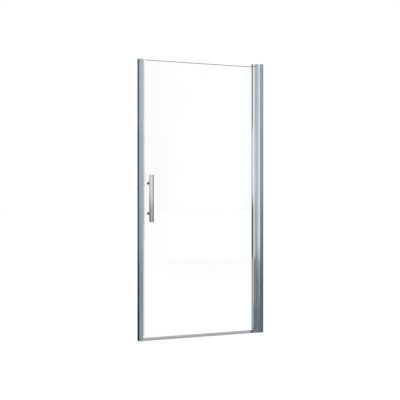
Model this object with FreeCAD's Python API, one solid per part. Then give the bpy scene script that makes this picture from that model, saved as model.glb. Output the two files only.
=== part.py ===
"""Pivot shower door: a clear glass leaf on a round post, which turns between two blocks in a fixed frame.

Millimetres. X runs along the door from the strike side to the pivot side, Y from the bathroom into
the shower, and Z up. The origin is at tray level, midway between the walls, in the glass's middle plane.
"""

import FreeCAD, Part
import os

vec = FreeCAD.Vector
os.makedirs("parts", exist_ok=True)

# ---------------------------------------------------------------- whole door
width = 900.0  # wall to wall
strike_height = 1833.5  # strike side, over its cap
frame_depth = 42.0  # wall channels, front to back
half_depth = frame_depth / 2
half_width = width / 2
end_cap = 1.5  # thickness of the caps on the frame's upright profiles
cap_prong = 12.0  # how far a cap's plug reaches down
cap_slack = 0.2  # round a cap's plug

# ---------------------------------------------------------------- wall channels
channel_reach = 25.5  # how far a channel stands out from its wall
channel_wall = 1.6
channel_corner = 1.2
lip_round = 0.5  # outer edges of the channels' lips
wall_hole_radius = 3.0
wall_hole_inset = 150.0  # from a channel's ends to its outer wall holes
wall_hole_count = 4

# ---------------------------------------------------------------- jambs in the channels
jamb_wall = 1.6
jamb_round = 0.8
jamb_slip = 0.35  # clearance of a jamb in its channel, each side
jamb_setback = 4.0  # from the wall to the jamb's legs
leg_length = 8.0
jamb_half = half_depth - channel_wall - jamb_slip
jamb_back = jamb_setback + leg_length  # from the wall to the jamb's web
strike_reach = 26.4  # from the wall to the strike jamb's face

# ---------------------------------------------------------------- screws through the channels' sides
side_screw_inset = 220.0
side_screw_shank = 1.7
side_screw_length = 9.0
side_head_radius = 3.6
side_head_height = 2.2
side_clear_hole = 2.1
thread_slack = 0.05  # between a screw's shank and the hole that it bites in
screw_cap_radius = 5.5
screw_cap_height = 3.6
screw_cap_wall = 0.8
side_screw_reach = jamb_setback + leg_length / 2  # from the wall to the screws

# ---------------------------------------------------------------- strike seal and its groove
groove_mouth = 5.0
groove_width = 9.0
groove_depth = 2.8
groove_back = 1.4
groove_slack = 0.1
strike_seal_reach = 8.0
strike_seal_width = 16.0
seal_wall = 1.0
magnet_width = 7.0
magnet_thickness = 2.5
magnet_slack = 0.1
stop_fin_reach = 6.6  # how far the stop fin laps behind the leaf
stop_fin_thickness = 1.4

# ---------------------------------------------------------------- glass and its seals
glass_thickness = 6.0
glass_half = glass_thickness / 2
glass_arris = 0.7
top_reveal = 2.0  # from the glass up to the top of the strike side
seal_gap = 0.5  # between the two magnet seals
edge_pocket_reach = 6.8
edge_pocket_width = 12.0
clip_wall = 1.0
clip_web = 0.8
clip_grip = 12.0
drip_end = 19.0  # from the pivot axis to the drip seal's end
drip_gap = 0.4  # above the rail
drip_inset = 0.1  # drip seal's strike end, inside the edge seal's
deflector_reach = 10.0
deflector_drop = 9.0
deflector_start = 11.0  # from the drip seal's strike end to the deflector

# ---------------------------------------------------------------- pivot axis and the leaf's post
pivot_inset = 63.0  # from the pivot side's wall to the axis
pivot_x = half_width - pivot_inset
post_radius = 17.0
post_wall = 1.8
post_gap = 1.0  # between the post and the jamb's recess
glass_to_axis = 6.8
gasket_side = 1.2
gasket_web = 0.8
port_radius = 4.5
port_wall = 1.5
end_plug = 1.5
end_plug_prong = 10.0
end_plug_slack = 0.2

# ---------------------------------------------------------------- pins, bushes and washers
pin_radius = 3.0
pin_seat_slack = 0.02
pin_run_slack = 0.05
bush_slack = 0.05
bush_flange = 1.0
bush_flange_radius = 8.0
bush_length = 16.0
washer_slack = 0.1
thrust_washer = 1.2
top_washer = 0.8
lift_gap = 0.2  # over the top washer

# ---------------------------------------------------------------- pivot blocks
bottom_block_height = 28.0
bottom_block_radius = 15.0
top_block_height = 14.0
block_edge = 1.0
block_clearance = 0.5  # from a block to the jamb's recess
saddle_half = 13.0
pin_floor = 3.0  # metal under or over a pin's end
block_cap_gap = 1.0  # from the top block up to the cap
block_screw_offset = 9.0
block_screw_shank = 1.9
block_screw_hole = 2.1
block_screw_length = 30.0
block_head_radius = 3.4
block_head_slack = 0.3
block_head_height = 3.0
block_head_seat = 6.0  # from the axis to the seat under the screw's head

# ---------------------------------------------------------------- pivot jamb
horn_tip = 52.5  # from the wall to the tip of the front horn
back_horn_tip = 62.0  # the same of the back horn
shoulder_gap = 0.4  # between the channel's lip and the jamb's head
front_bulge = 1.4
horn_round = 0.8
recess_radius = post_radius + post_gap
side_seal_offset = 5.2  # from the axis to the side seal's middle
side_seal_width = 2.2
side_seal_groove = 19.6  # from the door's mid plane to the groove's floor
side_seal_gap = 0.3  # from the side seal to the post
shoulder_reach = channel_reach + shoulder_gap

# ---------------------------------------------------------------- threshold rail
rail_front = -19.0
rail_crest = 8.0
rail_back = 15.0
rail_height = 16.0
rail_back_height = 8.0
rail_wall = 1.6
rail_round = 2.0
rail_end = 37.0  # from the pivot axis to the rail's end
joiner_length = 18.0
joiner_slack = 0.2
joiner_body = 16.0
joiner_tongue_half = 9.0
joiner_tongue_height = 14.0
joiner_gap = 0.3  # from the joiner to the bottom block
joiner_screw_y = -11.0
joiner_screw_z = 8.0
joiner_shank = 1.6
joiner_head_radius = 3.0
joiner_head_height = 2.0
joiner_bite = 9.0
joiner_head_depth = 4.0

# ---------------------------------------------------------------- handle
handle_inset = 26.0  # from the glass edge to the handle's axis
handle_middle = 926.5
handle_length = 306.0
handle_radius = 15.0
handle_wall = 1.8
handle_stand_off = 60.0  # from the glass to the bar's axis
handle_spacing = 196.0
handle_cap = 2.5
handle_cap_round = 1.2
handle_cap_plug = 12.0
handle_post_radius = 10.0
spigot_radius = 6.0
spigot_slack = 0.05
spigot_depth = 2.0
glass_hole_radius = 6.0
sleeve_slack = 0.2
bolt_radius = 3.0
bolt_slack = 0.2
bolt_bite = 14.0
bolt_head_radius = 5.5
bolt_head_height = 4.0
handle_washer = 1.0
handle_washer_radius = 10.0
inner_cap_radius = 9.0
inner_cap_height = 7.0
inner_cap_wall = 1.6
inner_cap_round = 2.0

# ---------------------------------------------------------------- places that follow from the sizes
rail_top = rail_height
strike_face = -half_width + strike_reach
strike_seal_face = strike_face + strike_seal_reach
edge_seal_face = strike_seal_face + seal_gap
clip_face = edge_seal_face + edge_pocket_reach
glass_left = clip_face + clip_web
glass_right = pivot_x - glass_to_axis
slot_floor = glass_right + gasket_web
slot_half = glass_half + gasket_side
clip_half = glass_half + clip_wall
leaf_bottom = bottom_block_height + thrust_washer + bush_flange
leaf_top = strike_height - top_reveal
post_bottom = leaf_bottom + end_plug
post_top = leaf_top - end_plug
top_washer_z = leaf_top + bush_flange
top_block_z = top_washer_z + top_washer + lift_gap
top_block_top = top_block_z + top_block_height
strike_profile_top = strike_height - end_cap
pivot_profile_top = top_block_top + block_cap_gap
rail_right = pivot_x - rail_end
joiner_screw_end = pivot_x - bottom_block_radius + joiner_bite
handle_x = glass_left + handle_inset
handle_y = -(glass_half + handle_stand_off)
handle_heights = [handle_middle - handle_spacing / 2, handle_middle + handle_spacing / 2]
block_screw_heights = {"top": top_block_z + top_block_height / 2, "bottom": bottom_block_height / 2}
block_screw_ys = [-block_screw_offset, block_screw_offset]
strike, pivot = -1, 1  # the two sides
profile_tops = {strike: strike_profile_top, pivot: pivot_profile_top}


# ---------------------------------------------------------------- plain shapes
def slab(xs, ys, zs):
    """A box between pairs of limits, each in either order."""
    low = [min(pair) for pair in (xs, ys, zs)]
    high = [max(pair) for pair in (xs, ys, zs)]
    sizes = [b - a for a, b in zip(low, high)]
    return Part.makeBox(*sizes, vec(*low))


def round_bar(radius, start, end):
    """A cylinder from one point to another."""
    way = vec(*end) - vec(*start)
    return Part.makeCylinder(radius, way.Length, vec(*start), way)


def upright(radius, zs, x=pivot_x, y=0.0):
    """A cylinder along Z, on the pivot axis unless another place is given."""
    return round_bar(radius, (x, y, zs[0]), (x, y, zs[1]))


def along_x(radius, y, z, xs):
    return round_bar(radius, (xs[0], y, z), (xs[1], y, z))


def along_y(radius, x, z, ys):
    return round_bar(radius, (x, ys[0], z), (x, ys[1], z))


def joined(shapes):
    """One solid from shapes that meet."""
    return shapes[0].multiFuse(shapes[1:]).removeSplitter()


def rounded(shape, radius, wanted):
    """Fillets the edges that the test picks."""
    return shape.makeFillet(radius, [edge for edge in shape.Edges if wanted(edge)])


def upright_at(x, half_y):
    """Picks the upright edges at one X and at a distance from the middle plane, front and back."""

    def wanted(edge):
        box = edge.BoundBox
        middle = edge.CenterOfMass
        is_upright = box.ZLength > box.XLength + box.YLength
        return is_upright and abs(middle.x - x) < 0.01 and abs(abs(middle.y) - half_y) < 0.01

    return wanted


def group(shapes):
    """Separate solids that share a node."""
    return Part.makeCompound(shapes)


def side_x(side, reach):
    """The place at a distance from one side's wall."""
    return side * (half_width - reach)


# ---------------------------------------------------------------- wall channels, jambs and caps
def wall_hole_heights(side):
    """Evenly spaced heights of the screw holes in a channel's web."""
    span = profile_tops[side] - 2 * wall_hole_inset
    step = span / (wall_hole_count - 1)
    return [wall_hole_inset + i * step for i in range(wall_hole_count)]


def side_screw_heights(side):
    top = profile_tops[side] - side_screw_inset
    return [side_screw_inset, (side_screw_inset + top) / 2, top]


def wall_channel(side):
    """A U channel, its web on the wall and its mouth to the doorway."""
    top = profile_tops[side]
    wall_x = side_x(side, 0)
    web_x = side_x(side, channel_wall)
    lip_x = side_x(side, channel_reach)
    inner_half = half_depth - channel_wall
    channel = slab((wall_x, lip_x), (-half_depth, half_depth), (0, top))
    channel = channel.cut(slab((web_x, lip_x), (-inner_half, inner_half), (0, top)))
    channel = rounded(channel, channel_corner, upright_at(wall_x, half_depth))
    channel = rounded(channel, lip_round, upright_at(lip_x, half_depth))
    for z in wall_hole_heights(side):
        channel = channel.cut(along_x(wall_hole_radius, 0, z, (wall_x, web_x)))
    screw_x = side_x(side, side_screw_reach)
    for z in side_screw_heights(side):
        channel = channel.cut(along_y(side_clear_hole, screw_x, z, (inner_half, half_depth)))
    return channel


def jamb_legs(side):
    """The two legs and the web of a jamb, as far as the channel hides them."""
    top = profile_tops[side]
    xs = (side_x(side, jamb_setback), side_x(side, shoulder_reach))
    inner_half = jamb_half - jamb_wall
    legs = slab(xs, (-jamb_half, jamb_half), (0, top))
    legs = legs.cut(slab((xs[0], side_x(side, jamb_back)), (-inner_half, inner_half), (0, top)))
    hollow_xs = (side_x(side, jamb_back + jamb_wall), xs[1])
    legs = legs.cut(slab(hollow_xs, (-inner_half, inner_half), (0, top)))
    screw_x = side_x(side, side_screw_reach)
    for z in side_screw_heights(side):
        hole = along_y(side_screw_shank + thread_slack, screw_x, z, (inner_half, jamb_half))
        legs = legs.cut(hole)
    return legs


def groove_cut(slack, top, bottom=0.0):
    """The T-shaped space of the strike seal's groove, made smaller by a slack for the seal's foot."""
    mouth_half = groove_mouth / 2 - slack
    width_half = groove_width / 2 - slack
    lip_x = strike_face - jamb_wall
    floor_x = lip_x - groove_depth
    mouth = slab((lip_x - slack, strike_face), (-mouth_half, mouth_half), (bottom, top))
    pocket = slab((floor_x + slack, lip_x - slack), (-width_half, width_half), (bottom, top))
    return joined([mouth, pocket])


def strike_jamb():
    """Legs in the channel, and a hollow face with a T groove for the strike seal."""
    top = strike_profile_top
    inner_half = jamb_half - jamb_wall
    shoulder_x = side_x(strike, shoulder_reach)
    face = slab((shoulder_x, strike_face), (-jamb_half, jamb_half), (0, top))
    hollow = slab(
        (side_x(strike, jamb_back + jamb_wall), strike_face - jamb_wall),
        (-inner_half, inner_half),
        (0, top),
    )
    shelf_half = groove_width / 2 + groove_back
    shelf = slab(
        (strike_face - jamb_wall - groove_depth - groove_back, strike_face),
        (-shelf_half, shelf_half),
        (0, top),
    )
    jamb = joined([jamb_legs(strike), face]).cut(hollow)
    jamb = joined([jamb, shelf]).cut(groove_cut(0, top))
    screw = along_x(
        joiner_shank + thread_slack,
        joiner_screw_y,
        joiner_screw_z,
        (strike_face - jamb_wall, strike_face),
    )
    return rounded(jamb.cut(screw), jamb_round, upright_at(strike_face, jamb_half))


def jamb_head(zs):
    """The pivot jamb's head in plan: a gently bulged front, a front horn and a longer back horn."""
    tip_x = side_x(pivot, horn_tip)
    shoulder_x = side_x(pivot, shoulder_reach)
    back_x = side_x(pivot, back_horn_tip)
    edge_y = -(half_depth - front_bulge)
    middle = vec((tip_x + shoulder_x) / 2, -half_depth, zs[0])
    front_left = vec(tip_x, edge_y, zs[0])
    front_right = vec(shoulder_x, edge_y, zs[0])
    others = [(shoulder_x, half_depth), (back_x, half_depth), (back_x, 0), (tip_x, 0)]
    corners = [front_right] + [vec(x, y, zs[0]) for x, y in others] + [front_left]
    edges = [Part.Arc(front_left, middle, front_right).toShape()]
    edges += [Part.LineSegment(a, b).toShape() for a, b in zip(corners, corners[1:])]
    head = Part.Face(Part.Wire(edges)).extrude(vec(0, 0, zs[1] - zs[0]))
    head = rounded(head, horn_round, upright_at(tip_x, -edge_y))
    head = rounded(head, horn_round, upright_at(back_x, half_depth))
    return head.cut(upright(recess_radius, zs))


def pivot_jamb():
    """Legs in the channel, and a hollow head with a round recess for the leaf's post."""
    zs = (0, pivot_profile_top)
    shoulder_x = side_x(pivot, shoulder_reach)
    hollow = slab(
        (side_x(pivot, horn_tip) + post_wall, shoulder_x - jamb_wall),
        (-(half_depth - front_bulge - post_wall), half_depth - post_wall),
        zs,
    )
    hollow = hollow.cut(upright(recess_radius + post_wall, zs))
    jamb = joined([jamb_legs(pivot), jamb_head(zs).cut(hollow)])
    jamb = jamb.cut(side_seal_space(0, zs))
    screw_xs = (pivot_x, pivot_x + recess_radius + post_wall)
    for z in block_screw_heights.values():
        for y in block_screw_ys:
            jamb = jamb.cut(along_x(block_screw_shank + thread_slack, y, z, screw_xs))
    return jamb


def side_seal_space(slack, zs):
    """The groove for the strip seal in the back horn, made smaller by a slack for the strip itself."""
    half = side_seal_width / 2 - slack
    xs = (pivot_x + side_seal_offset - half, pivot_x + side_seal_offset + half)
    return slab(xs, (post_radius - post_wall, side_seal_groove - slack), zs)


def pivot_side_seal():
    """A strip that closes the gap behind the post."""
    zs = (leaf_bottom, leaf_top)
    return side_seal_space(groove_slack, zs).cut(upright(post_radius + side_seal_gap, zs))


def top_cap_left():
    zs = (strike_profile_top, strike_height)
    plate = slab((side_x(strike, 0), strike_face), (-half_depth, half_depth), zs)
    plate = rounded(plate, channel_corner, upright_at(side_x(strike, 0), half_depth))
    plate = rounded(plate, jamb_round, upright_at(strike_face, half_depth))
    plug_half = groove_width / 2 + groove_back
    plug = slab(
        (
            side_x(strike, jamb_back + jamb_wall) + cap_slack,
            strike_face - jamb_wall - groove_depth - groove_back - cap_slack,
        ),
        (-plug_half, plug_half),
        (strike_profile_top - cap_prong, strike_profile_top),
    )
    return joined([plate, plug])


def top_cap_right():
    zs = (pivot_profile_top, pivot_profile_top + end_cap)
    channel_part = slab((side_x(pivot, shoulder_reach), half_width), (-half_depth, half_depth), zs)
    channel_part = rounded(channel_part, channel_corner, upright_at(half_width, half_depth))
    plug_half = jamb_half - jamb_wall - cap_slack
    plug = slab(
        (side_x(pivot, shoulder_reach) + cap_slack, side_x(pivot, jamb_back + jamb_wall) - cap_slack),
        (-plug_half, plug_half),
        (pivot_profile_top - cap_prong, pivot_profile_top),
    )
    return joined([channel_part, jamb_head(zs), plug])


def side_screws():
    """Screws from the shower side, through the channels' flanges into the jambs' legs."""
    screws = []
    for side in (strike, pivot):
        x = side_x(side, side_screw_reach)
        for z in side_screw_heights(side):
            head = along_y(side_head_radius, x, z, (half_depth, half_depth + side_head_height))
            shank = along_y(side_screw_shank, x, z, (half_depth - side_screw_length, half_depth))
            screws.append(joined([head, shank]))
    return group(screws)


def side_caps():
    """Snap caps over the side screws' heads."""
    caps = []
    for side in (strike, pivot):
        x = side_x(side, side_screw_reach)
        for z in side_screw_heights(side):
            top_y = half_depth + screw_cap_height
            cap = along_y(screw_cap_radius, x, z, (half_depth, top_y))
            cap = rounded(cap, screw_cap_wall, lambda edge: edge.CenterOfMass.y > top_y - 0.01)
            inside = along_y(screw_cap_radius - screw_cap_wall, x, z, (half_depth, top_y - screw_cap_wall))
            caps.append(cap.cut(inside))
    return group(caps)


# ---------------------------------------------------------------- seals with magnets
strike_seal_zs = (rail_top + drip_gap, leaf_top)
strike_chamber_xs = (strike_face + 2 * seal_wall, strike_seal_face - seal_wall)
edge_chamber_xs = (edge_seal_face + seal_wall, clip_face - seal_wall)
magnet_half = magnet_width / 2
leaf_zs = (leaf_bottom, leaf_top)


def magnet_ribs(wall_x, inward, zs):
    """The two ribs that hold a magnet against a wall. Inward is 1 or -1 along X, from the wall."""
    ribs = []
    for side in (-1, 1):
        inner_y = side * (magnet_half + magnet_slack)
        ys = (inner_y, inner_y + side * seal_wall)
        ribs.append(slab((wall_x, wall_x + inward * magnet_thickness), ys, zs))
    return ribs


def strike_seal():
    """A foot in the jamb's groove, a hollow pocket for the magnet, and a fin that stops the leaf."""
    half = strike_seal_width / 2
    pocket = slab((strike_face, strike_seal_face), (-half, half), strike_seal_zs)
    fin = slab(
        (strike_seal_face - seal_wall, strike_seal_face + stop_fin_reach),
        (half - stop_fin_thickness, half),
        strike_seal_zs,
    )
    foot = groove_cut(groove_slack, strike_seal_zs[1], strike_seal_zs[0])
    chamber_half = half - 2 * seal_wall
    chamber = slab(strike_chamber_xs, (-chamber_half, chamber_half), strike_seal_zs)
    hollow = joined([pocket, fin, foot]).cut(chamber)
    return joined([hollow] + magnet_ribs(strike_chamber_xs[1], -1, strike_seal_zs))


def magnet(wall_x, inward, zs):
    """A magnet strip between its ribs, with a little slack to the wall."""
    near = wall_x + inward * magnet_slack
    return slab((near, near + inward * magnet_thickness), (-magnet_half, magnet_half), zs)


def edge_seal():
    """A clip on the glass edge with a hollow pocket for the leaf's magnet."""
    half = edge_pocket_width / 2
    pocket = slab((edge_seal_face, clip_face), (-half, half), leaf_zs)
    chamber_half = half - seal_wall
    chamber = slab(edge_chamber_xs, (-chamber_half, chamber_half), leaf_zs)
    clip = slab((clip_face, glass_left + clip_grip), (-clip_half, clip_half), leaf_zs)
    glass_space = slab((glass_left, glass_left + clip_grip), (-glass_half, glass_half), leaf_zs)
    hollow = joined([pocket, clip]).cut(chamber).cut(glass_space)
    return joined([hollow] + magnet_ribs(edge_chamber_xs[0], 1, leaf_zs))


def drip_seal():
    """A clip under the glass with two wiping lips, and a slanted deflector on the shower side."""
    left = edge_seal_face + drip_inset
    right = pivot_x - drip_end
    web_z = leaf_bottom - clip_web
    clip_left = glass_left + clip_grip + joiner_slack
    web = slab((left, right), (-clip_half, clip_half), (web_z, leaf_bottom))
    clip = slab((clip_left, right), (-clip_half, clip_half), (web_z, leaf_bottom + clip_grip))
    glass_space = slab((clip_left, right), (-glass_half, glass_half), (leaf_bottom, strike_height))
    lip_zs = (rail_top + drip_gap, web_z)
    lips = [slab((left, right), (s * glass_half, s * clip_half), lip_zs) for s in (-1, 1)]
    deflector_x = left + deflector_start
    tip_y = clip_half + deflector_reach
    tip_z = web_z - deflector_drop
    outline = [
        (glass_half, web_z),
        (clip_half, web_z),
        (tip_y, tip_z + clip_wall),
        (tip_y, tip_z),
        (glass_half, web_z - clip_wall),
    ]
    deflector = along_door(outline, deflector_x, right)
    return joined([web, clip.cut(glass_space), deflector] + lips)


def along_door(outline, x0, x1):
    """A straight-sided section in Y and Z, drawn out along X."""
    points = [vec(x0, y, z) for y, z in outline + outline[:1]]
    return Part.Face(Part.makePolygon(points)).extrude(vec(x1 - x0, 0, 0))


# ---------------------------------------------------------------- threshold
def rail_section(inset, x0, x1):
    """The rail's section: upright front, level crest under the leaf, and a slope to the shower side."""
    slope = (rail_height - rail_back_height) / (rail_back - rail_crest)
    back = rail_back - inset
    crest = rail_crest - inset / 2
    outline = [
        (rail_front + inset, inset),
        (rail_front + inset, rail_height - inset),
        (crest, rail_height - inset),
        (back, rail_height - inset - slope * (back - crest)),
        (back, inset),
    ]
    return along_door(outline, x0, x1)


def is_rail_front(edge):
    box = edge.BoundBox
    return box.XLength > 1 and box.YMin < rail_front + 0.01 and box.ZMin > rail_height - 0.01


def threshold_rail():
    rail = rounded(rail_section(0, strike_face, rail_right), rail_round, is_rail_front)
    return rail.cut(rail_section(rail_wall, strike_face, rail_right))


def rail_end_joiner_left():
    """A plug inside the rail, screwed to the strike jamb."""
    end = strike_face + joiner_length
    inset = rail_wall + joiner_slack
    plug = rail_section(inset, strike_face, end)
    hole = along_x(joiner_shank + joiner_slack, joiner_screw_y, joiner_screw_z, (strike_face, end))
    head = along_x(
        joiner_head_radius + joiner_slack,
        joiner_screw_y,
        joiner_screw_z,
        (end - joiner_head_depth, end),
    )
    return plug.cut(hole).cut(head)


def rail_end_joiner_right():
    """A plug in the rail's other end, with a body that fills the space up to the bottom block."""
    body_end = rail_right + joiner_body
    plug = rail_section(rail_wall + joiner_slack, rail_right - joiner_length, rail_right)
    body = rounded(rail_section(0, rail_right, body_end), rail_round, is_rail_front)
    tongue = slab((body_end, pivot_x), (-joiner_tongue_half, joiner_tongue_half), (0, joiner_tongue_height))
    joiner = joined([plug, body, tongue])
    joiner = joiner.cut(upright(bottom_block_radius + joiner_gap, (0, rail_height)))
    near = rail_right - joiner_length
    seat = near + joiner_head_depth
    hole = along_x(joiner_shank + joiner_slack, 0, joiner_screw_z, (seat, pivot_x))
    head = along_x(joiner_head_radius + joiner_slack, 0, joiner_screw_z, (near, seat))
    return joiner.cut(hole).cut(head)


def joiner_screws():
    """One screw into the strike jamb and one into the bottom block."""
    left_seat = strike_face + joiner_length - joiner_head_depth
    right_seat = rail_right - joiner_length + joiner_head_depth
    left = joiner_screw(joiner_screw_y, left_seat, strike_face - joiner_bite)
    right = joiner_screw(0, right_seat, joiner_screw_end)
    return group([left, right])


def joiner_screw(y, seat, tip):
    """A screw along the rail, from the seat under its head to its tip."""
    head_end = seat - joiner_head_height if tip > seat else seat + joiner_head_height
    shank = along_x(joiner_shank, y, joiner_screw_z, (seat, tip))
    head = along_x(joiner_head_radius, y, joiner_screw_z, (seat, head_end))
    return joined([shank, head])


# ---------------------------------------------------------------- pivot blocks, pins and washers
def block_screw_spaces(block, which):
    """Cuts the two screw holes, entered from the doorway side, and the room for their heads."""
    z = block_screw_heights[which]
    seat_x = pivot_x - block_head_seat
    far_x = pivot_x + recess_radius
    near_x = pivot_x - recess_radius
    for y in block_screw_ys:
        block = block.cut(along_x(block_screw_hole, y, z, (seat_x, far_x)))
        block = block.cut(along_x(block_head_radius + block_head_slack, y, z, (near_x, seat_x)))
    return block


def block_screws(which):
    z = block_screw_heights[which]
    seat_x = pivot_x - block_head_seat
    screws = []
    for y in block_screw_ys:
        head = along_x(block_head_radius, y, z, (seat_x - block_head_height, seat_x))
        shank = along_x(block_screw_shank, y, z, (seat_x, seat_x + block_screw_length))
        screws.append(joined([head, shank]))
    return group(screws)


def top_pivot_block():
    """A round block over the post, held in the jamb's recess."""
    zs = (top_block_z, top_block_top)
    block = upright(recess_radius - block_clearance, zs)
    block = rounded(block, block_edge, lambda edge: edge.CenterOfMass.z > top_block_top - 0.01)
    pin_space = upright(pin_radius + pin_seat_slack, (top_block_z, top_block_top - pin_floor))
    return block_screw_spaces(block.cut(pin_space), "top")


def bottom_pivot_block():
    """A round block under the post, with a saddle that reaches into the jamb's recess."""
    zs = (0, bottom_block_height)
    saddle = slab((pivot_x, pivot_x + recess_radius), (-saddle_half, saddle_half), zs)
    saddle = saddle.common(upright(recess_radius - block_clearance, zs))
    block = joined([upright(bottom_block_radius, zs), saddle])
    block = rounded(block, block_edge, lambda edge: edge.BoundBox.ZMin > bottom_block_height - 0.01)
    block = block.cut(upright(pin_radius + pin_seat_slack, (pin_floor, bottom_block_height)))
    hole_xs = (pivot_x - recess_radius, joiner_screw_end)
    hole = along_x(joiner_shank + thread_slack, 0, joiner_screw_z, hole_xs)
    return block_screw_spaces(block.cut(hole), "bottom")


def washer(zs):
    ring = upright(bush_flange_radius, zs)
    return ring.cut(upright(pin_radius + washer_slack, zs))


def bush(z, inward):
    """A flanged bush that turns on a pin, its flange on the leaf's end at z."""
    flange_z = z - inward * bush_flange
    tip_z = z + inward * bush_length
    body = upright(port_radius - bush_slack, (z, tip_z))
    flange = upright(bush_flange_radius, (flange_z, z))
    return joined([body, flange]).cut(upright(pin_radius + pin_run_slack, (flange_z, tip_z)))


# ---------------------------------------------------------------- leaf
def post_section(zs):
    """The post in plan: a round tube with a slot for the glass, a port for the bushes and a web."""
    slot_wall_x = slot_floor + post_wall
    slot_wall_half = slot_half + post_wall
    tube = upright(post_radius, zs).cut(upright(post_radius - post_wall, zs))
    slot_walls = slab((pivot_x - post_radius, slot_wall_x), (-slot_wall_half, slot_wall_half), zs)
    web = slab((pivot_x, pivot_x + post_radius), (-post_wall / 2, post_wall / 2), zs)
    ribs = joined([slot_walls, web, upright(port_radius + port_wall, zs)])
    section = joined([tube, ribs.common(upright(post_radius, zs))])
    return section.cut(slot_space(zs)).cut(upright(port_radius, zs))


def slot_space(zs):
    return slab((pivot_x - recess_radius, slot_floor), (-slot_half, slot_half), zs)


def end_plug_piece(z, inward):
    """A plate over the post's end at z, with two prongs in its side hollows."""
    plate_zs = (z, z + inward * end_plug)
    prong_zs = (plate_zs[1], plate_zs[1] + inward * end_plug_prong)
    plate = upright(post_radius, plate_zs).cut(slot_space(plate_zs))
    plate = plate.cut(upright(port_radius, plate_zs))
    inner = upright(post_radius - post_wall - end_plug_slack, prong_zs)
    middle_half = max(slot_half + post_wall, port_radius + port_wall) + end_plug_slack
    middle_xs = (pivot_x - post_radius, pivot_x + post_radius)
    middle = slab(middle_xs, (-middle_half, middle_half), prong_zs)
    return joined([plate, inner.cut(middle)])


def door_glass():
    """The pane, with arrised edges and two holes for the handle."""
    pane = slab((glass_left, glass_right), (-glass_half, glass_half), leaf_zs)

    def is_rim(edge):
        middle = edge.CenterOfMass
        return abs(abs(middle.y) - glass_half) < 0.01 and middle.x < glass_right - 0.01

    pane = pane.makeChamfer(glass_arris, [edge for edge in pane.Edges if is_rim(edge)])
    for z in handle_heights:
        pane = pane.cut(along_y(glass_hole_radius, handle_x, z, (-glass_half, glass_half)))
    return pane


def glazing_gasket():
    """A U strip round the glass edge in the post's slot."""
    mouth_x = pivot_x - post_radius + gasket_web
    gasket = slab((mouth_x, slot_floor), (-slot_half, slot_half), leaf_zs)
    return gasket.cut(slab((mouth_x, glass_right), (-glass_half, glass_half), leaf_zs))


# ---------------------------------------------------------------- handle
handle_low = handle_middle - handle_length / 2
handle_high = handle_middle + handle_length / 2
bar_zs = (handle_low + handle_cap, handle_high - handle_cap)
outer_washer_ys = (-glass_half - handle_washer, -glass_half)
inner_washer_ys = (glass_half, glass_half + handle_washer)


def handle_bar():
    """A round tube with two holes for the posts' spigots."""
    bar = upright(handle_radius, bar_zs, handle_x, handle_y)
    bar = bar.cut(upright(handle_radius - handle_wall, bar_zs, handle_x, handle_y))
    for z in handle_heights:
        hole = along_y(spigot_radius + spigot_slack, handle_x, z, (handle_y, handle_y + handle_radius))
        bar = bar.cut(hole)
    return bar


def handle_end_caps():
    plug_radius = handle_radius - handle_wall - spigot_slack
    caps = []
    for tip, seat, inner in (
        (handle_low, bar_zs[0], bar_zs[0] + handle_cap_plug),
        (handle_high, bar_zs[1], bar_zs[1] - handle_cap_plug),
    ):
        plate = upright(handle_radius, sorted((tip, seat)), handle_x, handle_y)
        plate = rounded(plate, handle_cap_round, lambda edge: abs(edge.CenterOfMass.z - tip) < 0.01)
        plug = upright(plug_radius, sorted((seat, inner)), handle_x, handle_y)
        caps.append(joined([plate, plug]))
    return group(caps)


def handle_posts():
    """Posts from the glass to the bar, with a spigot in the bar and a thread for the bolt."""
    posts = []
    for z in handle_heights:
        post = along_y(handle_post_radius, handle_x, z, (handle_y, outer_washer_ys[0]))
        bar_space = upright(handle_radius + spigot_slack, bar_zs, handle_x, handle_y)
        spigot_ys = (handle_y + handle_radius - handle_wall - spigot_depth, outer_washer_ys[0])
        spigot = along_y(spigot_radius, handle_x, z, spigot_ys)
        thread_ys = (outer_washer_ys[0] - bolt_bite, outer_washer_ys[0])
        thread = along_y(bolt_radius + thread_slack, handle_x, z, thread_ys)
        posts.append(joined([post.cut(bar_space), spigot]).cut(thread))
    return group(posts)


def handle_rings(radius, ys):
    """A flat ring round each of the handle's two bolts."""
    rings = []
    for z in handle_heights:
        ring = along_y(radius, handle_x, z, ys)
        rings.append(ring.cut(along_y(bolt_radius + bolt_slack, handle_x, z, ys)))
    return group(rings)


def handle_bolts():
    bolts = []
    head_ys = (inner_washer_ys[1], inner_washer_ys[1] + bolt_head_height)
    shank_ys = (outer_washer_ys[0] - bolt_bite, inner_washer_ys[1])
    for z in handle_heights:
        head = along_y(bolt_head_radius, handle_x, z, head_ys)
        bolts.append(joined([head, along_y(bolt_radius, handle_x, z, shank_ys)]))
    return group(bolts)


def handle_inner_caps():
    """Domed caps over the bolts' heads on the shower side."""
    seat_y = inner_washer_ys[1]
    top_y = seat_y + inner_cap_height
    caps = []
    for z in handle_heights:
        cap = along_y(inner_cap_radius, handle_x, z, (seat_y, top_y))
        cap = rounded(cap, inner_cap_round, lambda edge: edge.CenterOfMass.y > top_y - 0.01)
        inside = along_y(inner_cap_radius - inner_cap_wall, handle_x, z, (seat_y, top_y - inner_cap_wall))
        caps.append(cap.cut(inside))
    return group(caps)


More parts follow.
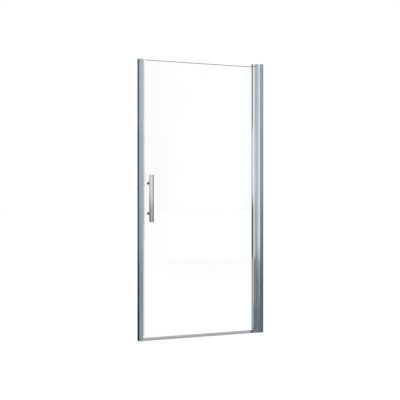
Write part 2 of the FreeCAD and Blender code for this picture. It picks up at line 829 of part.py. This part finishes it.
# ---------------------------------------------------------------- the nodes
nodes = {
    "wall_channel_left": wall_channel(strike),
    "wall_channel_right": wall_channel(pivot),
    "strike_jamb": strike_jamb(),
    "pivot_jamb": pivot_jamb(),
    "top_cap_left": top_cap_left(),
    "top_cap_right": top_cap_right(),
    "side_fixing_screws": side_screws(),
    "side_screw_caps": side_caps(),
    "strike_seal": strike_seal(),
    "strike_magnet": magnet(strike_chamber_xs[1], -1, strike_seal_zs),
    "pivot_side_seal": pivot_side_seal(),
    "threshold_rail": threshold_rail(),
    "rail_end_joiner_left": rail_end_joiner_left(),
    "rail_end_joiner_right": rail_end_joiner_right(),
    "rail_joiner_screws": joiner_screws(),
    "top_pivot_block": top_pivot_block(),
    "bottom_pivot_block": bottom_pivot_block(),
    "top_block_screws": block_screws("top"),
    "bottom_block_screws": block_screws("bottom"),
    "top_pivot_pin": upright(pin_radius, (leaf_top - bush_length, top_block_top - pin_floor)),
    "bottom_pivot_pin": upright(pin_radius, (pin_floor, leaf_bottom + bush_length)),
    "bottom_thrust_washer": washer((bottom_block_height, bottom_block_height + thrust_washer)),
    "top_spacer_washer": washer((top_washer_z, top_washer_z + top_washer)),
    "door_glass": door_glass(),
    "pivot_stile": post_section((post_bottom, post_top)),
    "glazing_gasket": glazing_gasket(),
    "stile_end_plug_bottom": end_plug_piece(leaf_bottom, 1),
    "stile_end_plug_top": end_plug_piece(leaf_top, -1),
    "bottom_bush": bush(leaf_bottom, 1),
    "top_bush": bush(leaf_top, -1),
    "edge_seal": edge_seal(),
    "edge_magnet": magnet(edge_chamber_xs[0], 1, leaf_zs),
    "drip_seal": drip_seal(),
    "handle_bar": handle_bar(),
    "handle_end_caps": handle_end_caps(),
    "handle_posts": handle_posts(),
    "handle_outer_washers": handle_rings(handle_washer_radius, outer_washer_ys),
    "handle_inner_washers": handle_rings(handle_washer_radius, inner_washer_ys),
    "handle_sleeves": handle_rings(glass_hole_radius - sleeve_slack, (-glass_half, glass_half)),
    "handle_bolts": handle_bolts(),
    "handle_inner_caps": handle_inner_caps(),
}

for name, shape in nodes.items():
    shape.exportStep(f"parts/{name}.step")
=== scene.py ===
"""Finishes, recessed screws, floor, light and camera for the pivot shower door.

Metres, in the door's own frame: X from the strike side to the pivot side, Y from the bathroom into the
shower, Z up from the tray.
"""

import math

import bpy
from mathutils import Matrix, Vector


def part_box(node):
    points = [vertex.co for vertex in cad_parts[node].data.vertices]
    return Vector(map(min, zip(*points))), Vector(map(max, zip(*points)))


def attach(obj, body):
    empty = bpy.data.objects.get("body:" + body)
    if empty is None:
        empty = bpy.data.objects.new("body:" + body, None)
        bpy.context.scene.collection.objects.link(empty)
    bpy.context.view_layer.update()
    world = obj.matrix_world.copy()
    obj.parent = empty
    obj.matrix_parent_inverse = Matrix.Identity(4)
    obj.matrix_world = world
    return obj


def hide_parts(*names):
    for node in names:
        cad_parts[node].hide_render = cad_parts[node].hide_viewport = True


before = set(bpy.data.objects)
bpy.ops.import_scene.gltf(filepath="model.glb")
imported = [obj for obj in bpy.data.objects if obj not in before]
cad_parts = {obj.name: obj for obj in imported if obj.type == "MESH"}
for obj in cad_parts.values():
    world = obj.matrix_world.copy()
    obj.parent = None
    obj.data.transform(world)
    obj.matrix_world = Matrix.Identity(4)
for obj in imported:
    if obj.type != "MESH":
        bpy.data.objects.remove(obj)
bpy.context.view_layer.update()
scene = bpy.context.scene

# ---------------------------------------------------------------- camera, as the photograph was taken
camera_place = (-2.1101, -5.0157, 0.9656)
camera_turn = 22.665  # degrees, from looking straight at the door towards the pivot side
camera_lens = 72.94  # millimetres, on a 36 mm sensor
sensor = 36.0
horizon_rise = 7.6 / 400.0  # how far the horizon lies above the frame's middle, as a share of its width

# ---------------------------------------------------------------- floor and lamps
floor_half = 30.0
floor_albedo = 0.8
floor_patches = (3.0, 3.0, 3.0)  # cycles a metre
floor_patch_shade = 0.01  # how much less the darker patches send back
floor_shade_share = 0.35  # how much of the floor's look comes from its light, and so shows a shadow
floor_glow = 0.70  # the rest of the floor's look, which shows none
lamp_side = 2.5
lamp_aim = (0.0, 0.0, 0.9)
lamps = [  # each lamp's name, its place and its power in watts
    ("key lamp", (-2.6, -3.0, 3.4), 40.0),
    ("fill lamp", (3.2, -2.4, 2.2), 15.0),
    ("back lamp", (0.5, 3.4, 3.0), 15.0),
]
daylight = 0.92  # brightness of the studio to all that isn't a mirror

BLACK = (0.0, 0.0, 0.0)
WHITE = (1.0, 1.0, 1.0)
quarter_turn = math.radians(90.0)
micrometre = 0.000001


# ---------------------------------------------------------------- shader maths
class Value:
    """An output of a node. Arithmetic on it adds Math nodes."""

    def __init__(self, nodes, socket):
        self.nodes = nodes
        self.socket = socket

    def output(self, name):
        """Another output of the same node."""
        return Value(self.nodes, self.socket.node.outputs[name])

    def math(self, operation, *values):
        return self.nodes.add("ShaderNodeMath", {"operation": operation}, dict(enumerate(values)))

    def __add__(self, other):
        return self.math("ADD", self, other)

    def __radd__(self, other):
        return self.math("ADD", other, self)

    def __sub__(self, other):
        return self.math("SUBTRACT", self, other)

    def __rsub__(self, other):
        return self.math("SUBTRACT", other, self)

    def __mul__(self, other):
        return self.math("MULTIPLY", self, other)

    def __rmul__(self, other):
        return self.math("MULTIPLY", other, self)

    def __truediv__(self, other):
        return self.math("DIVIDE", self, other)

    def __gt__(self, other):
        return self.math("GREATER_THAN", self, other)


class Nodes:
    """A node tree that is being written."""

    def __init__(self, tree):
        self.tree = tree
        tree.nodes.clear()

    def add(self, kind, settings=None, inputs=None, output=0):
        """Adds a node: its settings first, then the values or links of its sockets."""
        made = self.tree.nodes.new(kind)
        for name, setting in (settings or {}).items():
            if name == "stops":
                set_stops(made.color_ramp, setting)
            else:
                setattr(made, name, setting)
        for name, given in (inputs or {}).items():
            if isinstance(given, Value):
                self.tree.links.new(given.socket, made.inputs[name])
            else:
                made.inputs[name].default_value = given
        return Value(self, made.outputs[output]) if made.outputs else None


def set_stops(ramp, stops):
    """Gives a colour ramp its stops, each a position and a colour."""
    while len(ramp.elements) > 1:
        ramp.elements.remove(ramp.elements[-1])
    for index, (position, colour) in enumerate(stops):
        stop = ramp.elements[0] if index == 0 else ramp.elements.new(position)
        stop.position = position
        stop.color = (*colour, 1.0)


def grey(level):
    return (level, level, level)


def rgba(colour):
    return colour if isinstance(colour, Value) else (*colour, 1.0)


def mix(nodes, share, first, second):
    """A colour between two colours."""
    inputs = {0: share, 6: rgba(first), 7: rgba(second)}
    return nodes.add("ShaderNodeMix", {"data_type": "RGBA"}, inputs, output=2)


def tinted(nodes, colour, tint):
    return nodes.add("ShaderNodeVectorMath", {"operation": "MULTIPLY"}, {0: colour, 1: tint})


def shaded(colour, share):
    """A plain colour at a share of its brightness."""
    return tuple(share * c for c in colour)


def varied(level, pattern, spread):
    """A level that a pattern lowers and raises. The spread from end to end is a share of the level."""
    return level * (1.0 - spread / 2 + spread * pattern)


def smooth_step(nodes, value, low, high):
    """0 below low, 1 above high, and a smooth rise between them."""
    settings = {"interpolation_type": "SMOOTHSTEP"}
    return nodes.add("ShaderNodeMapRange", settings, {0: value, 1: low, 2: high, 3: 0.0, 4: 1.0})


def noise(nodes, scale, detail=3.0, roughness=0.5):
    """Noise on Object coordinates, with its own scale in X, Y and Z, in cycles a metre."""
    place = nodes.add("ShaderNodeTexCoord", output="Object")
    scaling = {"Vector": place, "Scale": scale}
    stretched = nodes.add("ShaderNodeMapping", {"vector_type": "POINT"}, scaling)
    inputs = {"Vector": stretched, "Scale": 1.0, "Detail": detail, "Roughness": roughness}
    return nodes.add("ShaderNodeTexNoise", None, inputs)


def bump(nodes, height, depth):
    """A bump whose height is in metres."""
    return nodes.add("ShaderNodeBump", None, {"Distance": depth, "Height": height}, "Normal")


def material(name, shader_of):
    """A material whose surface is what the function builds."""
    made = bpy.data.materials.new(name)
    made.use_nodes = True
    nodes = Nodes(made.node_tree)
    nodes.add("ShaderNodeOutputMaterial", None, {"Surface": shader_of(nodes)})
    return made


# ---------------------------------------------------------------- metal finishes
# Scales of the patterns along X, Y and Z, in cycles a metre.
lines_along_z = (700.0, 700.0, 2.0)
lines_along_x = (2.0, 700.0, 700.0)
lines_round_z = (40.0, 40.0, 2500.0)
lines_round_y = (300.0, 20.0, 300.0)
metal_clouds = (9.0, 9.0, 5.0)
tube_streaks = (30.0, 30.0, 420.0)
casting_waves = (90.0, 90.0, 90.0)
casting_smears = (260.0, 260.0, 260.0)

# Brightness of a pattern's darker places, as a share of the lighter ones.
cloud_share = 0.94
streak_share = 0.92

casting_dark = (0.76, 0.78, 0.80)
casting_light = (0.82, 0.84, 0.86)
tube_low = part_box("handle_bar")[0].z
tube_painted_shade_zs = (tube_low + 0.065, tube_low + 0.165)  # between these heights the tube's colour rises from painted shade at its lower end to its own colour


def drawn_metal(colour, rough, lines, line_depth):
    """Bright metal with the fine lines of its die or brush."""

    def shader_of(nodes):
        line = noise(nodes, lines, detail=4.0, roughness=0.6)
        cloud = noise(nodes, metal_clouds, detail=2.0)
        inputs = {
            "Base Color": mix(nodes, cloud, shaded(colour, cloud_share), colour),
            "Metallic": 1.0,
            "Roughness": varied(rough, line, spread=0.4),
            "Normal": bump(nodes, line, line_depth),
        }
        return nodes.add("ShaderNodeBsdfPrincipled", None, inputs)

    return shader_of


def brushed_tube(colour, painted_shade_share, rough, painted_shade_zs):
    """Brushed steel whose lower end is darkened by painted shade. The heights are in metres."""

    def shader_of(nodes):
        place = nodes.add("ShaderNodeTexCoord", output="Object")
        height = nodes.add("ShaderNodeSeparateXYZ", None, {0: place}, "Z")
        line = noise(nodes, lines_round_z, detail=4.0, roughness=0.6)
        streak = noise(nodes, tube_streaks, detail=3.0)
        # painted shade: the base colour is darker below the given heights
        painted_shade = shaded(colour, painted_shade_share)
        tone = mix(nodes, smooth_step(nodes, height, *painted_shade_zs), painted_shade, colour)
        darker = tinted(nodes, tone, grey(streak_share))
        inputs = {
            "Base Color": mix(nodes, streak, darker, tone),
            "Metallic": 1.0,
            "Roughness": varied(rough, line, spread=0.4),
            "Normal": bump(nodes, line, 1 * micrometre),
        }
        return nodes.add("ShaderNodeBsdfPrincipled", None, inputs)

    return shader_of


def chromed(rough, wave_depth):
    """Chrome on a casting or on plastic, with the faint waves of the surface under it."""

    def shader_of(nodes):
        wave = noise(nodes, casting_waves, detail=2.0)
        smear = noise(nodes, casting_smears, detail=5.0)
        inputs = {
            "Base Color": mix(nodes, smear, casting_dark, casting_light),
            "Metallic": 1.0,
            "Roughness": varied(rough, smear, spread=0.6),
            "Normal": bump(nodes, wave, wave_depth),
        }
        return nodes.add("ShaderNodeBsdfPrincipled", None, inputs)

    return shader_of


channel_metal = drawn_metal((0.74, 0.79, 0.83), 0.10, lines_along_z, line_depth=2 * micrometre)
jamb_metal = drawn_metal((0.80, 0.82, 0.84), 0.09, lines_along_z, line_depth=2 * micrometre)
post_metal = drawn_metal((0.81, 0.86, 0.90), 0.04, lines_along_z, line_depth=1 * micrometre)
rail_metal = drawn_metal((0.76, 0.78, 0.80), 0.36, lines_along_x, line_depth=6 * micrometre)
# the handle's tube, with painted shade towards its lower end
tube_metal = brushed_tube((0.86, 0.86, 0.85), painted_shade_share=0.68, rough=0.14, painted_shade_zs=tube_painted_shade_zs)
# The handle posts' steel is darkened far below the bar's: painted shade for the shadow and dark
# reflections they show beside the bar.
painted_shade_post_metal = drawn_metal((0.36, 0.36, 0.36), 0.24, lines_round_y, line_depth=2 * micrometre)
plain_steel = drawn_metal((0.62, 0.62, 0.61), 0.28, lines_round_z, line_depth=3 * micrometre)

finishes = {
    "wall channel": material("bright anodised channel", channel_metal),
    "jamb": material("bright anodised jamb", jamb_metal),
    "post": material("polished post", post_metal),
    "rail": material("satin anodised rail", rail_metal),
    "handle": material("brushed steel tube", tube_metal),
    "handle post": material("steel post with painted shade", painted_shade_post_metal),
    "steel": material("plain steel", plain_steel),
    "block": material("chromed casting", chromed(rough=0.07, wave_depth=30 * micrometre)),
    "cap": material("chromed plastic", chromed(rough=0.12, wave_depth=50 * micrometre)),
}


# ---------------------------------------------------------------- plastics and rubber
mould_clouds = (25.0, 25.0, 25.0)
mould_share = 0.88  # brightness of the darker clouds, as a share of the lighter ones


def moulded(colour, rough, grain, grain_depth, specular=0.5):
    """Plain plastic or rubber with the grain of its mould, in cycles a metre."""

    def shader_of(nodes):
        fine = noise(nodes, (grain, grain, grain), detail=4.0)
        broad = noise(nodes, mould_clouds, detail=2.0)
        inputs = {
            "Base Color": mix(nodes, broad, shaded(colour, mould_share), colour),
            "Roughness": varied(rough, fine, spread=0.3),
            "Specular IOR Level": specular,
            "Normal": bump(nodes, fine, grain_depth),
        }
        return nodes.add("ShaderNodeBsdfPrincipled", None, inputs)

    return shader_of


rubber = moulded((0.30, 0.31, 0.32), rough=0.6, grain=900.0, grain_depth=20 * micrometre, specular=0.3)
dark_plastic = moulded((0.13, 0.13, 0.135), rough=0.42, grain=1200.0, grain_depth=10 * micrometre)
nylon = moulded((0.86, 0.86, 0.84), rough=0.38, grain=700.0, grain_depth=8 * micrometre)
magnet = moulded((0.92, 0.92, 0.91), rough=0.5, grain=500.0, grain_depth=10 * micrometre)
finishes["gasket"] = material("grey gasket rubber", rubber)
finishes["dark plastic"] = material("dark grey plastic", dark_plastic)
finishes["nylon"] = material("white nylon", nylon)
finishes["magnet"] = material("white magnet strip", magnet)


# ---------------------------------------------------------------- clear materials
glass_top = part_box("door_glass")[1].z
edge_band = 0.004  # how far the band of painted shade along the top edge reaches down the pane
edge_streaks = (60.0, 60.0, 900.0)
# Colours of the painted shade along the pane's top edge.
edge_painted_dark = (0.13, 0.15, 0.15)
edge_painted_light = (0.20, 0.22, 0.22)
seal_clouds = (30.0, 30.0, 8.0)
clear_layers = 32  # faces of clear plastic that a ray may pass, all the seals in line


def lets_light_by(nodes, shader):
    """A clear shader that casts no shadow and tints no light that falls through it."""
    path = nodes.add("ShaderNodeLightPath", output="Is Shadow Ray")
    through = path.math("MAXIMUM", path, path.output("Is Diffuse Ray"))
    clear = nodes.add("ShaderNodeBsdfTransparent", None, {"Color": rgba(WHITE)})
    return nodes.add("ShaderNodeMixShader", None, {0: through, 1: shader, 2: clear})


def glass_shader(nodes):
    """Clear toughened glass. Its top edge is ground, and its dark colour, which also covers a band down
    both faces, is painted shade for the dark line that the edge shows through the glass.
    """
    place = nodes.add("ShaderNodeTexCoord", output="Object")
    height = nodes.add("ShaderNodeSeparateXYZ", None, {0: place}, "Z")
    # painted shade: an opaque dark band over the top edge and down both faces
    edge = height > glass_top - edge_band
    streak = noise(nodes, edge_streaks, detail=3.0)
    clear_glass = {
        "Base Color": rgba((0.998, 1.0, 0.999)),
        "Roughness": 0.0,
        "IOR": 1.45,
        "Transmission Weight": 1.0,
    }
    ground_edge_painted_shade = {
        "Base Color": mix(nodes, streak, edge_painted_dark, edge_painted_light),
        "Roughness": 0.35,
    }
    pane = nodes.add("ShaderNodeBsdfPrincipled", None, clear_glass)
    ground_edge_with_painted_shade = nodes.add("ShaderNodeBsdfPrincipled", None, ground_edge_painted_shade)
    return nodes.add("ShaderNodeMixShader", None, {0: edge, 1: lets_light_by(nodes, pane), 2: ground_edge_with_painted_shade})


def clear_plastic_shader(nodes):
    """Clear soft plastic, faintly milky."""
    cloud = noise(nodes, seal_clouds, detail=2.0)
    inputs = {
        "Base Color": rgba((0.95, 0.96, 0.97)),
        "Roughness": 0.12 + 0.06 * cloud,
        "Alpha": 0.012 + 0.018 * cloud,
    }
    return lets_light_by(nodes, nodes.add("ShaderNodeBsdfPrincipled", None, inputs))


finishes["glass"] = material("clear glass", glass_shader)
finishes["clear plastic"] = material("clear soft plastic", clear_plastic_shader)

# ---------------------------------------------------------------- which finish each part has
finish_of = {
    "wall channel": ["wall_channel_left", "wall_channel_right"],
    "jamb": ["strike_jamb", "pivot_jamb"],
    "post": ["pivot_stile"],
    "rail": ["threshold_rail"],
    "handle": ["handle_bar", "handle_end_caps"],
    "handle post": ["handle_posts"],
    "steel": [
        "side_fixing_screws",
        "rail_joiner_screws",
        "top_block_screws",
        "bottom_block_screws",
        "top_pivot_pin",
        "bottom_pivot_pin",
        "handle_bolts",
    ],
    "block": ["top_pivot_block", "bottom_pivot_block", "handle_inner_caps"],
    "cap": ["top_cap_left", "top_cap_right", "side_screw_caps"],
    "gasket": ["glazing_gasket", "pivot_side_seal"],
    "dark plastic": [
        "rail_end_joiner_left",
        "rail_end_joiner_right",
        "stile_end_plug_bottom",
        "stile_end_plug_top",
    ],
    "nylon": [
        "bottom_bush",
        "top_bush",
        "bottom_thrust_washer",
        "top_spacer_washer",
        "handle_outer_washers",
        "handle_inner_washers",
        "handle_sleeves",
    ],
    "magnet": ["strike_magnet", "edge_magnet"],
    "glass": ["door_glass"],
    "clear plastic": ["strike_seal", "edge_seal", "drip_seal"],
}
for finish, names in finish_of.items():
    for name in names:
        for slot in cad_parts[name].material_slots:
            slot.material = finishes[finish]


# ---------------------------------------------------------------- recessed screws of the pivot blocks
screw_facets = 32
screw_rim = 0.001  # rounding of the head's rim
head_height = 0.003
shank_share = 0.56  # of the head's radius
tip_length = 0.003
tip_share = 0.3
cross_arm = 0.0021  # from the head's middle to the end of an arm
cross_width = 0.0009
cross_depth = 0.0014
end_facing = 0.9  # how nearly an end face's normal lies along the screw
smooth_below = math.radians(35.0)


def deselect():
    bpy.ops.object.select_all(action="DESELECT")


def pick_faces(piece, wanted):
    """Goes into edit mode with only the faces selected that the test picks."""
    bpy.ops.object.mode_set(mode="EDIT")
    bpy.ops.mesh.select_mode(type="FACE")
    bpy.ops.mesh.select_all(action="DESELECT")
    bpy.ops.object.mode_set(mode="OBJECT")
    for face in piece.data.polygons:
        face.select = wanted(face)
    bpy.ops.object.mode_set(mode="EDIT")


def cut_away(piece, cutter):
    """Takes the cutter's shape out of a piece."""
    deselect()
    piece.select_set(True)
    bpy.context.view_layer.objects.active = piece
    modifier = piece.modifiers.new("cut", "BOOLEAN")
    modifier.object = cutter
    bpy.ops.object.modifier_apply(modifier=modifier.name)
    bpy.data.objects.remove(cutter)


def cross_screw(place, radius, length):
    """A pan-head screw along X, the middle of its head's face at the place, with a cross recess."""
    deselect()
    middle = place + Vector((head_height / 2, 0.0, 0.0))
    turn = (0.0, quarter_turn, 0.0)
    bpy.ops.mesh.primitive_cylinder_add(
        vertices=screw_facets, radius=radius, depth=head_height, location=middle, rotation=turn
    )
    screw = bpy.context.object
    pick_faces(screw, lambda face: face.normal.z < -end_facing)
    bpy.ops.mesh.bevel(offset=screw_rim, segments=4, affect="EDGES")
    pick_faces(screw, lambda face: face.normal.z > end_facing)
    bpy.ops.mesh.inset(thickness=radius * (1.0 - shank_share))
    shank_end = length - head_height - tip_length
    bpy.ops.mesh.extrude_region_move(TRANSFORM_OT_translate={"value": (shank_end, 0.0, 0.0)})
    bpy.ops.mesh.extrude_region_move(TRANSFORM_OT_translate={"value": (tip_length, 0.0, 0.0)})
    tip = place + Vector((length, 0.0, 0.0))
    bpy.ops.transform.resize(value=(1.0, tip_share, tip_share), center_override=tip)
    bpy.ops.object.mode_set(mode="OBJECT")
    for arm in ((cross_width, 2 * cross_arm), (2 * cross_arm, cross_width)):
        deselect()
        bpy.ops.mesh.primitive_cube_add(size=1.0, location=place, scale=(2 * cross_depth, *arm))
        cut_away(screw, bpy.context.object)
    return screw


def block_screws(node):
    """The pair of screws that hold a pivot block, in place of the plain ones."""
    low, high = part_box(node)
    radius = (high.z - low.z) / 2
    height = (high.z + low.z) / 2
    places = [Vector((low.x, y, height)) for y in (low.y + radius, high.y - radius)]
    first = cross_screw(places[0], radius, high.x - low.x)
    second = first.copy()
    second.data = first.data.copy()
    scene.collection.objects.link(second)
    second.location += places[1] - places[0]
    deselect()
    second.select_set(True)
    first.select_set(True)
    bpy.context.view_layer.objects.active = first
    bpy.ops.object.join()
    bpy.ops.object.transform_apply(location=True, rotation=True, scale=True)
    bpy.ops.object.shade_smooth_by_angle(angle=smooth_below)
    first.name = node + "_cross_recessed"
    first.data.materials.append(finishes["steel"])
    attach(first, "frame")
    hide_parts(node)


block_screws("top_block_screws")
block_screws("bottom_block_screws")


# ---------------------------------------------------------------- the studio round the door
def turned(degrees):
    """Where a direction lies on the ramps: 0 degrees faces the bathroom, and 90 the pivot side's wall."""
    return (degrees + 180.0) / 360.0


def band(edges, before, inside, after):
    """A band between two others, by the degrees where it starts, is full, fades and ends."""
    start, full, fade, end = edges
    return [(start, before), (full, inside), (fade, inside), (end, after)]


front_screen = (16.4, 17.3, 19.7, 20.6)  # what the flat fronts of the strike side mirror
lip_gap = (25.7, 26.4, 28.3, 29.5)  # what the lip of the pivot side's channel mirrors

# Brightness of each zone of the studio round the compass, as degrees and levels.
foot_levels = [
    (-180, 0.30), (-171, 0.03), (-152, 0.03), (-132, 0.20), (-118, 0.50), (-66, 0.54), (-50, 0.34),
    (-20, 0.24), (3, 0.12), *band(front_screen, 0.12, 0.46, 0.12), (25.5, 0.16), (28.3, 0.17), (30, 0.18),
    (48, 0.18), (56, 0.08), (110, 0.06), (150, 0.20), (180, 0.30),
]
low_levels = [
    (-180, 0.28), (-171, 0.06), (-152, 0.06), (-132, 0.12), (-118, 0.45), (-66, 0.47), (-40, 0.60),
    (-22, 0.48), (-8, 0.28), (3, 0.13), *band(front_screen, 0.13, 0.38, 0.13), (25.5, 0.13), (26.2, 0.12),
    (28.3, 0.12), (29.5, 0.36), (48, 0.36), (53, 0.10), (110, 0.06), (150, 0.20), (180, 0.28),
]
middle_levels = [
    (-180, 0.34), (-171, 0.13), (-152, 0.13), (-138, 0.20), (-122, 0.24), (-114, 0.04), (-64, 0.03),
    (-56, 0.76), (-40, 0.78), (-20, 0.72), (-8, 0.70), (3, 0.64), (7, 0.70),
    *band(front_screen, 0.72, 0.43, 0.90), *band(lip_gap, 0.94, 0.03, 0.96),
    (51, 1.0), (53.5, 0.04), (110, 0.03), (150, 0.22), (180, 0.34),
]
upper_levels = [
    (-180, 0.36), (-171, 0.11), (-152, 0.11), (-132, 0.26), (-118, 0.74), (-68, 0.84), (-60, 1.0),
    (-20, 1.02), (-8, 0.82), (3, 0.62), (7, 0.74),
    *band(front_screen, 0.74, 0.47, 0.92), *band(lip_gap, 0.98, 0.18, 0.98),
    (51, 1.0), (54.5, 0.28), (70, 0.24), (110, 0.10), (150, 0.22), (180, 0.36),
]
high_levels = [
    (-180, 0.38), (-171, 0.16), (-152, 0.13), (-132, 0.18), (-118, 0.30), (-70, 0.29), (-61, 1.02),
    (-20, 1.06), (-8, 0.80), (3, 0.58), (7, 0.64),
    *band(front_screen, 0.64, 0.57, 0.90), *band(lip_gap, 0.98, 0.25, 0.90),
    (51, 0.94), (54, 0.16), (70, 0.22), (110, 0.16), (150, 0.24), (180, 0.38),
]
overhead_levels = [(-180, 0.85), (180, 0.85)]

# The zones from the ground up: the sines of the heights between which a zone takes over from the one under
# it, the tints that it uses, and its levels.
studio_zones = [
    ((-0.26, -0.19), "foot", foot_levels),
    ((-0.146, -0.130), "above", low_levels),
    ((-0.0825, -0.0770), "above", middle_levels),
    ((-0.024, 0.004), "above", upper_levels),
    ((0.074, 0.084), "above", high_levels),
    ((0.30, 0.60), "above", overhead_levels),
]
under_foot = grey(0.58)

# Tints of the screens. Each keeps its green and trades red for blue.
plain = WHITE
warm = (1.04, 1.0, 0.97)
cool = (0.93, 1.0, 1.06)
side_blue = (0.92, 1.0, 1.10)
front_blue = (0.90, 1.0, 1.07)
lip_blue = (0.85, 1.0, 1.13)
foot_blue = (0.82, 1.0, 1.19)
above_tints = [
    (-180, plain), (-171, side_blue), (-152, side_blue), (-140, plain), (2, plain), (6, warm),
    *band(front_screen, warm, front_blue, plain), *band((25.7, 26.4, 28.3, 30), plain, lip_blue, cool),
    (150, cool), (180, plain),
]
foot_tints = [
    (-180, plain), (-171, side_blue), (-152, side_blue), (-140, plain), (-62, (0.90, 1.0, 1.10)),
    (-45, foot_blue), *band(front_screen, foot_blue, front_blue, foot_blue), (60, foot_blue),
    (150, (0.88, 1.0, 1.12)), (180, plain),
]
studio_tints = {"above": above_tints, "foot": foot_tints}


def studio_colour(nodes):
    """What metal and glass mirror, by direction: pale screens and dark gaps, dimmer towards the floor."""
    way = nodes.add("ShaderNodeTexCoord", output="Generated")
    east = nodes.add("ShaderNodeSeparateXYZ", None, {0: way})
    north = east.output("Y")
    rise = east.output("Z")
    round_share = east.math("ARCTAN2", east, 0.0 - north) / math.tau + 0.5
    tint_of = {}
    for place, tints in studio_tints.items():
        stops = [(turned(degrees), tint) for degrees, tint in tints]
        tint_of[place] = nodes.add("ShaderNodeValToRGB", {"stops": stops}, {0: round_share})
    colour = under_foot
    for line, place, levels in studio_zones:
        stops = [(turned(degrees), grey(level)) for degrees, level in levels]
        zone = nodes.add("ShaderNodeValToRGB", {"stops": stops}, {0: round_share})
        colour = mix(nodes, smooth_step(nodes, rise, *line), colour, tinted(nodes, zone, tint_of[place]))
    return colour


def ways_of_seeing(nodes):
    """1 where the eye sees straight or through glass, and 1 where it sees in a mirror, else 0."""
    path = nodes.add("ShaderNodeLightPath")
    mirrored = path.output("Glossy Depth") > 0.5
    straight = path.math("MAXIMUM", path.output("Is Camera Ray"), path.output("Is Transmission Ray"))
    return straight * (1.0 - mirrored), mirrored


def make_world():
    world = bpy.data.worlds.new("studio")
    world.use_nodes = True
    nodes = Nodes(world.node_tree)
    seen, mirrored = ways_of_seeing(nodes)
    lit = mix(nodes, mirrored, grey(daylight), studio_colour(nodes))
    colour = mix(nodes, seen, lit, WHITE)
    light = nodes.add("ShaderNodeBackground", None, {"Color": colour, "Strength": 1.0})
    nodes.add("ShaderNodeOutputWorld", None, {"Surface": light})
    scene.world = world


def floor_shader(nodes):
    """White to the camera with a faint shadow, pale to other light, and open to reflections."""
    seen, mirrored = ways_of_seeing(nodes)
    patches = noise(nodes, floor_patches, detail=3.0)
    pale = mix(nodes, patches, grey(floor_albedo - floor_patch_shade), grey(floor_albedo))
    inputs = {
        "Base Color": mix(nodes, seen, pale, grey(floor_shade_share)),
        "Roughness": 1.0,
        "Specular IOR Level": 0.0,
        "Emission Color": mix(nodes, seen, BLACK, grey(floor_glow)),
        "Emission Strength": 1.0,
    }
    solid = nodes.add("ShaderNodeBsdfPrincipled", None, inputs)
    clear = nodes.add("ShaderNodeBsdfTransparent", None, {"Color": rgba(WHITE)})
    return nodes.add("ShaderNodeMixShader", None, {0: mirrored, 1: solid, 2: clear})


def make_floor():
    bpy.ops.mesh.primitive_plane_add(size=2 * floor_half, location=(0.0, 0.0, 0.0))
    floor = bpy.context.object
    floor.name = "floor"
    floor.data.materials.append(material("pale floor", floor_shader))


def make_lamp(name, place, power):
    """A soft square lamp that isn't seen itself. Metal shows the studio's screens instead."""
    lamp = bpy.data.lights.new(name, "AREA")
    lamp.size = lamp_side
    lamp.energy = power
    made = bpy.data.objects.new(name, lamp)
    scene.collection.objects.link(made)
    made.location = place
    made.rotation_mode = "QUATERNION"
    made.rotation_quaternion = (Vector(lamp_aim) - Vector(place)).to_track_quat("-Z", "Y")
    made.visible_camera = False
    made.visible_transmission = False
    made.visible_glossy = False


def make_camera():
    camera = bpy.data.cameras.new("camera")
    camera.lens = camera_lens
    camera.sensor_width = sensor
    camera.shift_y = -horizon_rise
    made = bpy.data.objects.new("camera", camera)
    scene.collection.objects.link(made)
    made.location = camera_place
    made.rotation_euler = (quarter_turn, 0.0, -math.radians(camera_turn))
    scene.camera = made


make_world()
make_floor()
for name, place, power in lamps:
    make_lamp(name, place, power)
make_camera()
scene.view_settings.view_transform = "Standard"
scene.cycles.transparent_max_bounces = clear_layers
